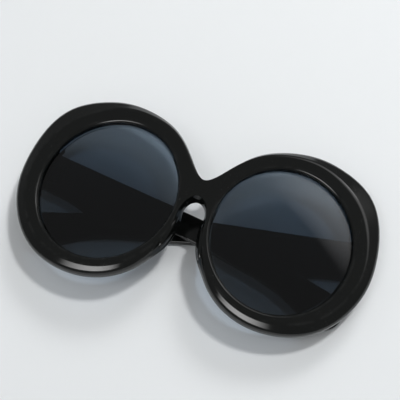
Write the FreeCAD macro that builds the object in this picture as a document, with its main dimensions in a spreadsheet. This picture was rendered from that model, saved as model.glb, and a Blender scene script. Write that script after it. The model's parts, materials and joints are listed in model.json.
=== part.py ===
import FreeCAD, Part, Sketcher
import math
import os

# Folding oversized sunglasses, in millimetres, lying folded on the outer side of the left temple.
# Left and right are the wearer's: the left half is at +X, the brow at +Y, and the front looks up, along +Z.
# The pieces of the front are modelled in the front's own frame, whose origin is in the middle plane,
# level with the lens centres, where the two rim planes meet. Each temple is modelled about its hinge axis.

SIZES = (
    ("lens_width", 57.4, "width of a lens opening"),
    ("lens_height", 62.0, "height of a lens opening"),
    ("lens_spacing", 74.0, "distance between the lens centres"),
    ("wrap_angle", 6.5, "turn of each rim plane away from the middle plane, degrees"),
    ("front_thickness", 6.0, "thickness of the rims"),
    ("bevel_drop", 2.4, "fall of the bevel from the ring to the outer edge"),
    ("bevel_least", 0.6, "narrowest bevel, at the nose and the bridge"),
    ("rim_nose", 3.6, "rim width beside the nose"),
    ("rim_bottom", 7.1, "rim width at the bottom"),
    ("rim_cheek", 9.4, "rim width at the lower outer side"),
    ("rim_side", 10.6, "rim width at the temple"),
    ("rim_corner", 13.8, "rim width at the upper outer corner"),
    ("rim_top", 9.8, "rim width at the top"),
    ("rim_brow", 7.0, "rim width above the bridge"),
    ("ring_nose", 3.0, "raised ring beside the nose"),
    ("ring_bottom", 3.6, "raised ring at the bottom"),
    ("ring_cheek", 5.2, "raised ring at the lower outer side"),
    ("ring_side", 6.2, "raised ring at the temple"),
    ("ring_corner", 6.4, "raised ring at the upper outer corner"),
    ("ring_top", 6.2, "raised ring at the top"),
    ("ring_brow", 6.6, "raised ring above the bridge"),
    ("bridge_top", 14.0, "top of the bridge above the lens centres"),
    ("bridge_height", 8.6, "height of the bridge in the middle plane"),
    ("lens_lip", 1.0, "chamfer round the front of a lens opening"),
    ("lens_recess", 2.2, "depth of the lens edge behind the ring"),
    ("lens_radius", 170.0, "radius of the lens dome"),
    ("lens_thickness", 2.0, "thickness of a lens"),
    ("tongue_depth", 3.2, "depth of the middle of the lens tongue behind the ring"),
    ("tongue_thickness", 1.4, "thickness of the lens tongue"),
    ("tongue_reach", 0.9, "reach of the lens tongue into its rim"),
    ("lens_gap", 0.05, "clearance round a lens"),
    ("nose_pad_length", 19.0, "length of a nose pad"),
    ("nose_pad_width", 5.2, "width of a nose pad"),
    ("nose_pad_reach", 5.5, "reach of a nose pad behind its rim"),
    ("nose_pad_level", -10.5, "height of the middle of a nose pad"),
    ("nose_pad_splay_angle", 10.0, "turn of a nose pad's lower end to the outside, degrees"),
    ("nose_pad_lean_angle", -14.0, "turn of a nose pad's back to the outside, degrees"),
    ("end_pad", 0.5, "least thickness of the end piece's flat back"),
    ("end_pad_height", 17.5, "height of the end piece's flat back"),
    ("hinge_level", 4.8, "height of the middle of a hinge"),
    ("barrel_radius", 1.5, "outer radius of a hinge barrel"),
    ("barrel_length", 1.6, "length of a hinge barrel"),
    ("barrel_gap", 0.1, "running gap between barrels"),
    ("axis_behind", 1.9, "hinge axis behind the end piece"),
    ("axis_inside", 1.8, "hinge axis to the inner side of a temple"),
    ("leaf_thickness", 0.9, "thickness of a hinge leaf"),
    ("front_leaf_width", 4.6, "width of a front hinge leaf"),
    ("temple_leaf_length", 11.0, "length of a temple hinge leaf"),
    ("leaf_gap", 0.02, "clearance round a sunk hinge leaf"),
    ("screw_radius", 0.6, "radius of a hinge screw"),
    ("screw_head_radius", 1.0, "radius of a screw head"),
    ("screw_head_height", 0.7, "height of a screw head"),
    ("screw_slot", 0.3, "width of the slot in a screw head"),
    ("screw_gap", 0.03, "radial clearance round a hinge screw"),
    ("temple_thickness", 3.0, "thickness of a temple"),
    ("temple_inset", 0.8, "outer side of an open temple inside the edge of the front"),
    ("temple_gap", 0.3, "gap between the folded temples"),
    ("butt_gap", 0.1, "gap between an open temple and its end piece"),
    ("temple_top", 14.5, "top edge of a temple at its hinge, above the lens centres"),
    ("temple_root", 17.4, "height of a temple at its hinge"),
    ("temple_neck", 18.2, "height of a temple behind its hinge"),
    ("temple_broad", 20.2, "height of a temple where it is broadest"),
    ("temple_slim", 11.9, "height of a temple where it is slimmest"),
    ("temple_throat", 13.7, "height of a temple just before its tip"),
    ("temple_slope_angle", 8.5, "slope of a temple, degrees"),
    ("temple_length", 138.7, "hinge axis to the end of the temple tip"),
    ("bend_start", 69.4, "hinge axis to the start of the bend of the tip"),
    ("bend_radius", 285.0, "radius of the bend of the tip"),
    ("tip_width", 15.0, "width of the paddle at the temple tip"),
    ("temple_round", 0.7, "rounding of the long edges of a temple"),
    ("core_radius", 0.7, "radius of a core wire"),
    ("core_start", 14.0, "hinge axis to the start of a core wire"),
    ("core_bend", 38.0, "length of a core wire past the start of the bend"),
    ("core_gap", 0.03, "clearance round a core wire"),
)

doc = FreeCAD.newDocument("Sunglasses")
sheet = doc.addObject("Spreadsheet::Sheet", "Sizes")
for row, (alias, size, meaning) in enumerate(SIZES, start=1):
    sheet.set(f"A{row}", meaning)
    sheet.set(f"B{row}", str(size))
    sheet.setAlias(f"B{row}", alias)
doc.recompute()


def cell(alias):
    """A size from the sheet as a plain number."""
    return float(sheet.get(alias))


def vector(x, y, z=0.0):
    return FreeCAD.Vector(x, y, z)


def bind(item, **expressions):
    """Tie properties of an object to expressions over the sheet, with _ for the dots in their paths."""
    for path, expression in expressions.items():
        item.setExpression(path.replace("_", "."), expression)
    return item


def box(name, length, width, height, corner):
    """A box bound to the sheet, with its lowest corner at three expressions."""
    item = doc.addObject("Part::Box", name)
    x, y, z = corner
    bind(item, Length=length, Width=width, Height=height)
    return bind(item, Placement_Base_x=x, Placement_Base_y=y, Placement_Base_z=z)


def upright_cylinder(name, radius, height, low_end):
    """A cylinder about an axis along Y, bound to the sheet, that starts at low_end on that axis."""
    item = doc.addObject("Part::Cylinder", name)
    item.Placement = FreeCAD.Placement(vector(0, 0), FreeCAD.Rotation(vector(1, 0, 0), -90))
    return bind(item, Radius=radius, Height=height, Placement_Base_y=low_end)


def solid(name, shape):
    """A free-form solid or tool that the document holds as it is."""
    item = doc.addObject("Part::Feature", name)
    item.Shape = shape
    return item


def joined(name, *items):
    item = doc.addObject("Part::MultiFuse", name)
    item.Shapes = list(items)
    item.Refine = False
    return item


def cut(name, base, tool):
    item = doc.addObject("Part::Cut", name)
    item.Base = base
    item.Tool = tool
    item.Refine = False
    return item


def shared(name, base, tool):
    item = doc.addObject("Part::Common", name)
    item.Base = base
    item.Tool = tool
    item.Refine = False
    return item


def mirrored(name, source):
    """The other hand of a piece, across the middle plane."""
    item = doc.addObject("Part::Mirroring", name)
    item.Source = source
    item.Normal = vector(1, 0)
    return item


# Places that several pieces share, as expressions over the sheet
RIM_END = (
    "(Sizes.lens_spacing / 2 / cos(Sizes.wrap_angle) + Sizes.lens_width / 2 + Sizes.rim_side)"
)
END_BACK = (
    f"(-{RIM_END} * sin(Sizes.wrap_angle)"
    " - Sizes.front_thickness * cos(Sizes.wrap_angle) - Sizes.end_pad)"
)
AXIS_X = (
    f"({RIM_END} * cos(Sizes.wrap_angle)"
    " - Sizes.temple_inset - Sizes.temple_thickness - Sizes.axis_inside)"
)
AXIS_Z = f"({END_BACK} - Sizes.axis_behind)"
BARREL_STEP = "(Sizes.barrel_length + Sizes.barrel_gap)"
HINGE_HEIGHT = f"(5 * {BARREL_STEP} - Sizes.barrel_gap)"
HINGE_LOW = f"(Sizes.hinge_level - {HINGE_HEIGHT} / 2)"


def worked_out(expression):
    """The plain number that an expression over the sheet gives."""
    return float(sheet.evalExpression(expression))


wrap = math.radians(cell("wrap_angle"))
lens_x = cell("lens_spacing") / 2 / math.cos(wrap)
half_width = cell("lens_width") / 2
half_height = cell("lens_height") / 2
rim_plane = FreeCAD.Placement(vector(0, 0), FreeCAD.Rotation(vector(0, 1, 0), cell("wrap_angle")))


def lens_oval(spread, z):
    """The outline of a lens opening grown by spread, in four quarters, at height z in the rim's plane."""
    wide, high = half_width + spread, half_height + spread
    oval = Part.Ellipse(vector(0, 0), max(wide, high), min(wide, high))
    quarters = [oval.toShape(turn * math.pi / 2, (turn + 1) * math.pi / 2) for turn in range(4)]
    outline = Part.Wire(quarters)
    if high > wide:
        outline.rotate(vector(0, 0), vector(0, 0, 1), 90)
    outline.translate(vector(lens_x, 0, z))
    return outline


def lens_slab(spread, low, high):
    """A straight slab with the outline of a lens opening grown by spread, between two heights."""
    return Part.Face(lens_oval(spread, low)).extrude(vector(0, 0, high - low))


# Where the rim and ring widths hold, in angles round the lens centre: 0 is the temple side and 90 the top
RIM_STATIONS = (
    (-180, "nose"),
    (-90, "bottom"),
    (-40, "cheek"),
    (0, "side"),
    (50, "corner"),
    (90, "top"),
    (135, "brow"),
    (180, "brow"),
)
RIM_ANGLES = (140, 115, 90, 70, 50, 30, 5, -22, -55, -90, -120, -145, -165, -180)


def eased_width(kind, angle):
    """The width of the rim or the ring at an angle, eased by a half cosine wave between two stations."""
    for (low, one), (high, other) in zip(RIM_STATIONS, RIM_STATIONS[1:]):
        if low <= angle <= high:
            ease = (1 - math.cos(math.pi * (angle - low) / (high - low))) / 2
            start, end = cell(f"{kind}_{one}"), cell(f"{kind}_{other}")
            return start + (end - start) * ease
    raise ValueError(f"no rim station round {angle} degrees")


def stretches(curve):
    """The edges of a spline from each of its knots to the next."""
    knots = curve.getKnots()
    return [curve.toShape(first, last) for first, last in zip(knots, knots[1:])]


def half_front_outline(on_ring, z):
    """Half of the front's outline: its outer edge, or the crease where the bevel meets the raised ring.

    A spline runs from the top of the bridge round the rim to the nose arch, level at both ends,
    and straight lines close it beyond the middle plane.
    """
    points = []
    for angle in RIM_ANGLES:
        turn = math.radians(angle)
        across, up = math.cos(turn), math.sin(turn)
        width = eased_width("rim", angle)
        if on_ring:
            width = min(eased_width("ring", angle), width - cell("bevel_least"))
        reach = 1 / math.hypot(across / half_width, up / half_height) + width
        points.append(vector(lens_x + reach * across, reach * up, z))
    inset = cell("bevel_least") if on_ring else 0
    top = vector(0, cell("bridge_top") - inset, z)
    arch = vector(0, cell("bridge_top") - cell("bridge_height") + inset, z)
    past = vector(-half_width / 4, 0)
    edge = Part.BSplineCurve()
    knots = [place / (len(points) + 1) for place in range(len(points) + 2)]
    level = vector(half_width * 4, 0)
    edge.interpolate(
        Points=[top, *points, arch],
        Parameters=knots,
        InitialTangent=level,
        FinalTangent=level * -1,
        Scale=False,
    )
    lines = [
        Part.LineSegment(arch, arch + past),
        Part.LineSegment(arch + past, top + past),
        Part.LineSegment(top + past, top),
    ]
    return Part.Wire([*stretches(edge), *(line.toShape() for line in lines)])


# The front frame: the left half is made and mirrored
thickness = cell("front_thickness")
drop = cell("bevel_drop")
lip = cell("lens_lip")
crease = half_front_outline(True, 0)
bevel_foot = half_front_outline(False, -drop)
back_edge = half_front_outline(False, -2 * thickness)
rim_blank = solid("RimBlank", Part.makeLoft([crease, bevel_foot, back_edge], True, True))
rim_blank.Placement = rim_plane
outer_half = doc.addObject("Part::Box", "OuterHalf")
outer_half.Placement.Base = vector(0, -2 * half_height, -2 * half_height)
bind(
    outer_half,
    Length=f"2 * {RIM_END}",
    Width="2 * Sizes.lens_height",
    Height="2 * Sizes.lens_height",
)
half_blank = shared("HalfBlank", rim_blank, outer_half)

end_block = box(
    "EndBlock",
    "2 * Sizes.rim_side",
    "Sizes.end_pad_height",
    "Sizes.front_thickness",
    (
        f"{RIM_END} * cos(Sizes.wrap_angle) - Sizes.rim_side",
        "Sizes.hinge_level - Sizes.end_pad_height / 2",
        END_BACK,
    ),
)
behind_rim = doc.addObject("Part::Box", "BehindRim")
behind_base = vector(-half_width, -2 * half_height, -4 * thickness)
behind_rim.Placement = rim_plane * FreeCAD.Placement(behind_base, FreeCAD.Rotation())
bind(
    behind_rim,
    Length=f"2 * {RIM_END}",
    Width="2 * Sizes.lens_height",
    Height="3 * Sizes.front_thickness",
)
waste = cut("BehindRimAndEnd", behind_rim, end_block)
rim_with_end = cut("RimWithEnd", half_blank, waste)

nose_pad = doc.addObject("Part::Ellipsoid", "NosePad")
splay, lean_back = cell("nose_pad_splay_angle"), cell("nose_pad_lean_angle")
nose_pad.Placement.Rotation = FreeCAD.Rotation(splay, lean_back, 0)
nose_pad.Angle1 = -90
nose_pad.Angle2 = 90
bind(
    nose_pad,
    Radius1="Sizes.nose_pad_reach",
    Radius2="Sizes.nose_pad_width / 2",
    Radius3="Sizes.nose_pad_length / 2",
    Placement_Base_x="(Sizes.lens_spacing - Sizes.lens_width) / 2 - Sizes.rim_nose / 8",
    Placement_Base_y="Sizes.nose_pad_level",
    Placement_Base_z="-Sizes.front_thickness - Sizes.end_pad",
)
half_front = joined("HalfFront", rim_with_end, nose_pad)

clear = thickness / 4
lens_gap = cell("lens_gap")
tongue_reach = cell("tongue_reach")
tongue_low = -cell("tongue_depth") - cell("tongue_thickness") / 2
tongue_high = tongue_low + cell("tongue_thickness")
lip_ends = [lens_oval(lip + clear, clear), lens_oval(-clear, -lip - clear)]
groove = lens_slab(tongue_reach + lens_gap, tongue_low - lens_gap, tongue_high + lens_gap)
for name, tool in (
    ("LensOpening", lens_slab(0, -3 * thickness, clear)),
    ("LensLip", Part.makeLoft(lip_ends, True, True)),
    ("LensGroove", groove),
):
    cutter = solid(name, tool)
    cutter.Placement = rim_plane
    half_front = cut(f"FrontWith{name}", half_front, cutter)

leaf_seat = box(
    "FrontLeafSeat",
    "Sizes.front_leaf_width + 2 * Sizes.leaf_gap",
    f"{HINGE_HEIGHT} + 2 * Sizes.leaf_gap",
    "Sizes.leaf_thickness + Sizes.leaf_gap + Sizes.axis_behind",
    (
        f"{AXIS_X} - Sizes.front_leaf_width / 2 - Sizes.leaf_gap",
        f"{HINGE_LOW} - Sizes.leaf_gap",
        f"{END_BACK} - Sizes.axis_behind",
    ),
)
left_half = cut("LeftHalf", half_front, leaf_seat)
front = joined("FrontFrame", left_half, mirrored("RightHalf", left_half))
doc.recompute()

# The lenses: a domed shell cut to the opening, with a flat tongue round its edge for the groove
dome = cell("lens_radius")
dome_centre = -cell("lens_recess") - math.sqrt(dome**2 - ((half_width + half_height) / 2) ** 2)
dome_place = vector(lens_x, 0, dome_centre)
dome_inside = Part.makeSphere(dome - cell("lens_thickness"), dome_place)
dome_shell = Part.makeSphere(dome, dome_place).cut(dome_inside)
lens_shell = solid("LensShell", dome_shell.common(lens_slab(-lens_gap, -2 * thickness, 2 * thickness)))
tongue_slab = lens_slab(tongue_reach, tongue_low, tongue_high)
tongue_hole = lens_slab(-tongue_reach, -2 * thickness, 2 * thickness)
lens_tongue = solid("LensTongue", tongue_slab.cut(tongue_hole))
lens = joined("Lens", lens_shell, lens_tongue)


# The hinges, about an axis along Y: barrels 0, 2 and 4 belong to the front and 1 and 3 to the temple
def hinge_leaf(name, barrels, plate, neck_height, neck_low):
    """A hinge leaf: its plate, a barrel on a neck in each of its places, and the bore for the screw."""
    pieces = [plate]
    for place in barrels:
        low = f"{HINGE_LOW} + {place} * {BARREL_STEP}"
        corner = ("-Sizes.barrel_radius", low, neck_low)
        length = "Sizes.barrel_length"
        neck = box(f"{name}Neck{place}", "2 * Sizes.barrel_radius", length, neck_height, corner)
        barrel = upright_cylinder(f"{name}Barrel{place}", "Sizes.barrel_radius", length, low)
        pieces += [neck, barrel]
    bore_radius = "Sizes.screw_radius + Sizes.screw_gap"
    bore_low = f"Sizes.hinge_level - {HINGE_HEIGHT}"
    bore = upright_cylinder(f"{name}Bore", bore_radius, f"2 * {HINGE_HEIGHT}", bore_low)
    return cut(name, joined(f"{name}Blank", *pieces), bore)


front_plate = box(
    "FrontPlate",
    "Sizes.front_leaf_width",
    HINGE_HEIGHT,
    "Sizes.leaf_thickness",
    ("-Sizes.front_leaf_width / 2", HINGE_LOW, "Sizes.axis_behind"),
)
front_neck = "Sizes.axis_behind + Sizes.leaf_thickness / 2"
front_leaf = hinge_leaf("FrontLeaf", (0, 2, 4), front_plate, front_neck, "0")
head_seat = upright_cylinder(
    "HeadSeat",
    "Sizes.screw_head_radius + Sizes.screw_gap",
    "Sizes.screw_head_height + Sizes.screw_gap",
    f"{HINGE_LOW} + {HINGE_HEIGHT} - Sizes.screw_head_height - Sizes.screw_gap",
)
front_hinge = cut("FrontHinge", front_leaf, head_seat)

LEAF_INSIDE = "Sizes.axis_inside + Sizes.leaf_thickness / 2"
BUTT = "(Sizes.butt_gap - Sizes.axis_behind)"
temple_plate = box(
    "TemplePlate",
    "Sizes.temple_leaf_length",
    HINGE_HEIGHT,
    "Sizes.leaf_thickness",
    (BUTT, HINGE_LOW, "-Sizes.axis_inside - Sizes.leaf_thickness"),
)
temple_hinge = hinge_leaf("TempleHinge", (1, 3), temple_plate, LEAF_INSIDE, f"-({LEAF_INSIDE})")


def plane_of(body, role):
    """A body's own origin plane, found by its role."""
    return next(item for item in body.Origin.OriginFeatures if item.Role == role)


# The hinge screws: half of the profile, turned about the hinge axis
screw_body = doc.addObject("PartDesign::Body", "ScrewBody")
profile = screw_body.newObject("Sketcher::SketchObject", "ScrewProfile")
profile.AttachmentSupport = [(plane_of(screw_body, "XY_Plane"), "")]
profile.MapMode = "FlatFace"
shank, head = cell("screw_radius"), cell("screw_head_radius")
screw_end = worked_out(HINGE_HEIGHT)
head_low = screw_end - cell("screw_head_height")
corners = [(0, 0), (shank, 0), (shank, head_low), (head, head_low), (head, screw_end), (0, screw_end)]
for number, corner in enumerate(corners):
    following = corners[(number + 1) % len(corners)]
    profile.addGeometry(Part.LineSegment(vector(*corner), vector(*following)))
for number in range(len(corners)):
    profile.addConstraint(Sketcher.Constraint("Coincident", number, 2, (number + 1) % len(corners), 1))
    profile.addConstraint(Sketcher.Constraint("Vertical" if number % 2 else "Horizontal", number))
profile.addConstraint(Sketcher.Constraint("Coincident", 0, 1, -1, 1))
for name, kind, line, first, last, size in (
    ("shank", "DistanceX", 0, 1, 2, "Sizes.screw_radius"),
    ("head_height", "DistanceY", 3, 1, 2, "Sizes.screw_head_height"),
    ("head_radius", "DistanceX", 4, 2, 1, "Sizes.screw_head_radius"),
    ("reach", "DistanceY", 5, 2, 1, HINGE_HEIGHT),
):
    number = profile.addConstraint(Sketcher.Constraint(kind, line, first, line, last, worked_out(size)))
    profile.renameConstraint(number, name)
    profile.setExpression(f"Constraints.{name}", size)
turning = screw_body.newObject("PartDesign::Revolution", "ScrewTurning")
turning.Profile = profile
turning.ReferenceAxis = (profile, ["V_Axis"])
turning.Angle = 360
screw_slot = box(
    "ScrewSlot",
    "4 * Sizes.screw_head_radius",
    "Sizes.screw_head_height",
    "Sizes.screw_slot",
    (
        "-2 * Sizes.screw_head_radius",
        f"{HINGE_HEIGHT} - Sizes.screw_head_height / 2",
        "-Sizes.screw_slot / 2",
    ),
)
screw = cut("Screw", screw_body, screw_slot)


# The right temple, about its hinge axis: X runs to the tip, and its inner side looks up
slope = math.tan(math.radians(cell("temple_slope_angle")))
bend_start = cell("bend_start")
bend_radius = cell("bend_radius")


def top_edge(along):
    """The height of the temple's top edge: a straight slope, then a bend that follows a wide curve."""
    bent = max(0, along - bend_start)
    return cell("temple_top") - slope * along - bent**2 / bend_radius / 2


butt = worked_out(BUTT)
tip_radius = cell("tip_width") / 2
tip_x = cell("temple_length") - tip_radius
tip_slope = slope + (tip_x - bend_start) / bend_radius
tip_y = top_edge(tip_x) - tip_radius * math.hypot(1, tip_slope)
throat = tip_x - 2 * tip_radius


def outline_place(part):
    """A place along the temple: parts 0 to 1 lead from the hinge axis to the bend, and 1 to 2 on to the tip."""
    return bend_start * min(part, 1) + (tip_x - bend_start) * max(part - 1, 0)


# Places on the temple's outline, from the hinge to the tip and back
UPPER_PARTS = (0.4, 0.8, 1.2246, 1.5615)
TIP_ANGLES = (45, -10, -60, -115)
LOWER_PARTS = ((1.2246, "temple_slim"), (0.85, "temple_slim"), (0.5, "temple_broad"), (0.3, "temple_neck"))
upper_places = [butt, *map(outline_place, UPPER_PARTS), tip_x - tip_radius / 2]
upper = [vector(along, top_edge(along)) for along in upper_places]
tip = [
    vector(tip_x + tip_radius * math.cos(turn), tip_y + tip_radius * math.sin(turn))
    for turn in map(math.radians, TIP_ANGLES)
]
lower_places = [
    (throat, "temple_throat"),
    *((outline_place(part), height) for part, height in LOWER_PARTS),
    (butt, "temple_root"),
]
lower = [vector(along, top_edge(along) - cell(height)) for along, height in lower_places]
edge = Part.BSplineCurve()
edge.interpolate(Points=[*upper, *tip, *lower])
butt_end = Part.LineSegment(lower[-1], upper[0]).toShape()
temple_outline = solid("TempleOutline", Part.Wire([*stretches(edge), butt_end]))
temple_slab = doc.addObject("Part::Extrusion", "TempleSlab")
temple_slab.Base = temple_outline
temple_slab.DirMode = "Custom"
temple_slab.Dir = vector(0, 0, -1)
temple_slab.Solid = True
bind(temple_slab, LengthFwd="Sizes.temple_thickness", Placement_Base_z="-Sizes.axis_inside")
doc.recompute()

long_edges = [
    number
    for number, side in enumerate(temple_slab.Shape.Edges, start=1)
    if side.BoundBox.ZLength < cell("temple_round") and side.BoundBox.XLength > cell("butt_gap")
]
rounded_slab = doc.addObject("Part::Fillet", "RoundedSlab")
rounded_slab.Base = temple_slab
rounded_slab.Edges = [(number, cell("temple_round"), cell("temple_round")) for number in long_edges]


# The core wire: straight along the slope, then round the bend, in the middle of the temple's thickness
def core_rod(name, spare):
    """A round rod along the path of the core wire, thicker and longer by the spare all round."""
    down = math.atan(slope)
    along = vector(math.cos(down), -math.sin(down))
    across = vector(-math.sin(down), -math.cos(down))
    middle = -cell("axis_inside") - cell("temple_thickness") / 2
    bend = vector(bend_start, top_edge(bend_start) - cell("temple_slim") / 2, middle)
    start = bend - along * (bend_start - cell("core_start") + spare)

    def on_bend(length):
        turn = length / bend_radius
        return bend + along * (bend_radius * math.sin(turn)) + across * (bend_radius * (1 - math.cos(turn)))

    reach = cell("core_bend") + spare
    straight = Part.LineSegment(start, bend)
    curved = Part.Arc(bend, on_bend(reach / 2), on_bend(reach))
    path = Part.Wire([straight.toShape(), curved.toShape()])
    ring = Part.Wire(Part.makeCircle(cell("core_radius") + spare, start, along))
    return solid(name, path.makePipeShell([ring], True, False))


core = core_rod("Core", 0)
temple_leaf_seat = box(
    "TempleLeafSeat",
    "Sizes.temple_leaf_length + Sizes.leaf_gap + Sizes.axis_behind",
    f"{HINGE_HEIGHT} + 2 * Sizes.leaf_gap",
    "2 * Sizes.leaf_thickness + Sizes.leaf_gap",
    (
        f"{BUTT} - Sizes.axis_behind",
        f"{HINGE_LOW} - Sizes.leaf_gap",
        "-Sizes.axis_inside - Sizes.leaf_thickness - Sizes.leaf_gap",
    ),
)
seated_temple = cut("SeatedTemple", rounded_slab, temple_leaf_seat)
temple = cut("Temple", seated_temple, core_rod("CoreChannel", cell("core_gap")))
doc.recompute()


def piece(node, source, place, other_hand=False):
    """A finished piece: its model or the mirror image of it, at its place among the others."""
    if other_hand:
        item = mirrored(node, source)
    else:
        item = doc.addObject("Part::Compound", node)
        item.Links = [source]
    item.Placement = place
    item.Label = node
    return item


# The folded pose: the left temple lies flat, the right one above it, and the front leans to the left
tilt = math.degrees(math.asin(worked_out(f"(Sizes.temple_thickness + Sizes.temple_gap) / 2 / {AXIS_X}")))
left_axis_z = worked_out("Sizes.axis_inside + Sizes.temple_thickness")
right_axis_z = left_axis_z + worked_out("Sizes.temple_thickness + Sizes.temple_gap")
axis_x = worked_out(AXIS_X)
lean = FreeCAD.Rotation(vector(0, 1, 0), tilt)
left_axis = lean.multVec(vector(axis_x, 0, worked_out(AXIS_Z)))
right_axis = lean.multVec(vector(-axis_x, 0, worked_out(AXIS_Z)))
leaning = front.Shape.copy()
leaning.Placement = FreeCAD.Placement(vector(0, 0), lean)
extent = leaning.optimalBoundingBox()
front_base = vector(-extent.Center.x, -extent.Center.y, left_axis_z - left_axis.z)
front_place = FreeCAD.Placement(front_base, lean)
left_place = FreeCAD.Placement(front_base + left_axis, FreeCAD.Rotation())
right_place = FreeCAD.Placement(front_base + right_axis, FreeCAD.Rotation())
left_hinge_place = FreeCAD.Placement(left_place.Base, lean)
right_hinge_place = FreeCAD.Placement(right_place.Base, lean)
screw_base = FreeCAD.Placement(vector(0, worked_out(HINGE_LOW)), FreeCAD.Rotation())

nodes = [
    piece("front_frame", front, front_place),
    piece("left_lens", lens, front_place * rim_plane),
    piece("right_lens", lens, front_place * rim_plane.inverse(), True),
    piece("left_front_hinge", front_hinge, left_hinge_place),
    piece("right_front_hinge", front_hinge, right_hinge_place, True),
    piece("left_hinge_screw", screw, left_hinge_place * screw_base),
    piece("right_hinge_screw", screw, right_hinge_place * screw_base, True),
    piece("left_temple", temple, left_place, True),
    piece("right_temple", temple, right_place),
    piece("left_temple_hinge", temple_hinge, left_place, True),
    piece("right_temple_hinge", temple_hinge, right_place),
    piece("left_temple_core", core, left_place, True),
    piece("right_temple_core", core, right_place),
]
doc.recompute()

for item in doc.Objects:
    if "Invalid" in item.State or "Error" in item.State:
        raise RuntimeError(f"{item.Name} did not build: {item.State}")
for item in nodes:
    if item.Shape.isNull() or not item.Shape.isValid() or len(item.Shape.Solids) != 1:
        raise RuntimeError(f"{item.Label} is not one valid solid")

os.makedirs("parts", exist_ok=True)
for item in nodes:
    item.Shape.Solids[0].exportStep(f"parts/{item.Label}.step")
    print(item.Label, round(item.Shape.Volume, 1), item.Shape.optimalBoundingBox())
print("left hinge axis", left_place.Base, "right hinge axis", right_place.Base, "tilt", tilt)
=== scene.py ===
import json
import math

import bmesh
import bpy
import numpy as np
from bpy.props import FloatProperty, FloatVectorProperty, PointerProperty
from mathutils import Matrix, Vector


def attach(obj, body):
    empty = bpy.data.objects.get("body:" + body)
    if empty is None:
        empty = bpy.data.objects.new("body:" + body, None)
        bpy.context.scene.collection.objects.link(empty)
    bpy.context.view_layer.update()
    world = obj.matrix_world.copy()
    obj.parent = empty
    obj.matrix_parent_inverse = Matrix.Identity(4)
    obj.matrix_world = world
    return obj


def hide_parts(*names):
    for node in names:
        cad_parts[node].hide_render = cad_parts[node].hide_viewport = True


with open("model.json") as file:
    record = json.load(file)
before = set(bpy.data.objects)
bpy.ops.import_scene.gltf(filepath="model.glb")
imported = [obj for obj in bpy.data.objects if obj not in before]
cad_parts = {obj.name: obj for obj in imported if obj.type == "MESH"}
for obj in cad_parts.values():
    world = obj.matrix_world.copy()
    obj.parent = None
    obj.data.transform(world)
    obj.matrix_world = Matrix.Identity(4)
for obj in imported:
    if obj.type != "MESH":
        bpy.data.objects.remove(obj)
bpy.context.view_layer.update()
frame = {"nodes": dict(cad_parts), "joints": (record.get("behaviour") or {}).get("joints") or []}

bl_info = {
    "name": "Oversized Sunglasses",
    "version": (1, 0, 0),
    "blender": (4, 5, 0),
    "location": "View3D > Sidebar > Sunglasses",
    "description": "Builds folding oversized sunglasses, their finishes and a studio on the CAD frame",
    "category": "Object",
}

MM = 0.001
JOINTS = {joint["name"]: joint for joint in frame["joints"]}
LEFT_AXIS = np.array(JOINTS["left_temple_hinge"]["pos_m"]) / MM
RIGHT_AXIS = np.array(JOINTS["right_temple_hinge"]["pos_m"]) / MM

# The sizes of the CAD pieces that the surfaces below follow, in millimetres, with angles given in degrees
LENS_HALF_WIDTH = 28.7
LENS_HALF_HEIGHT = 31.0
LENS_SPACING = 74.0
WRAP = math.radians(6.5)
LENS_X = LENS_SPACING / 2 / math.cos(WRAP)
FRONT_THICKNESS = 6.0
BEVEL_DROP = 2.4
BEVEL_LEAST = 0.6
LENS_LIP = 1.0
BRIDGE_TOP = 14.0
BRIDGE_HEIGHT = 8.6
RIM_SIDE = 10.6
RIM_END = LENS_X + LENS_HALF_WIDTH + RIM_SIDE
END_PAD = 0.5
END_PAD_HEIGHT = 17.5
END_BACK = -RIM_END * math.sin(WRAP) - FRONT_THICKNESS * math.cos(WRAP) - END_PAD
HINGE_LEVEL = 4.8
AXIS_BEHIND = 1.9
AXIS_INSIDE = 1.8
LENS_RADIUS = 170.0
LENS_RECESS = 2.2
LENS_THICKNESS = 2.0
NOSE_PAD_RADII = np.array([2.6, 9.5, 5.5])
NOSE_PAD_CENTRE = np.array([7.85, -10.5, -6.5])
NOSE_PAD_ANGLES = (10.0, -14.0)
TEMPLE_THICKNESS = 3.0
TEMPLE_TOP = 14.5
TEMPLE_SLOPE = math.tan(math.radians(8.5))
TEMPLE_LENGTH = 138.7
TEMPLE_BUTT = -1.8
BEND_START = 69.4
BEND_RADIUS = 285.0
TIP_RADIUS = 7.5
TIP_X = TEMPLE_LENGTH - TIP_RADIUS

# Widths of the rim and its raised ring at angles round the lens centre: 0 is the temple side and 90 the top
RIM_STATIONS = np.array([-180, -90, -40, 0, 50, 90, 135, 180], float)
RIM_WIDTHS = np.array([3.6, 7.1, 9.4, RIM_SIDE, 13.8, 9.8, 7.0, 7.0])
RING_WIDTHS = np.array([3.0, 3.6, 5.2, 6.2, 6.4, 6.2, 6.6, 6.6])

# Angles of the points that the front's outline goes through, from the bridge's top round to the nose,
# and the slope with which it leaves the middle plane and comes back to it
RIM_ANGLES = np.array([140, 115, 90, 70, 50, 30, 5, -22, -55, -90, -120, -145, -165, -180], float)
OUTLINE_SLOPE = np.array([4 * LENS_HALF_WIDTH, 0.0])

# Points of a temple's outline: parts of its length on the upper edge, angles round the tip,
# and parts on the lower edge, with the temple's heights from the tip's throat back to the butt end
UPPER_PARTS = np.array([0.4, 0.8, 1.2246, 1.5615])
TIP_ANGLES = np.array([45, -10, -60, -115], float)
LOWER_PARTS = np.array([1.2246, 0.85, 0.5, 0.3])
LOWER_HEIGHTS = np.array([13.7, 11.9, 11.9, 20.2, 18.2, 17.4])

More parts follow.
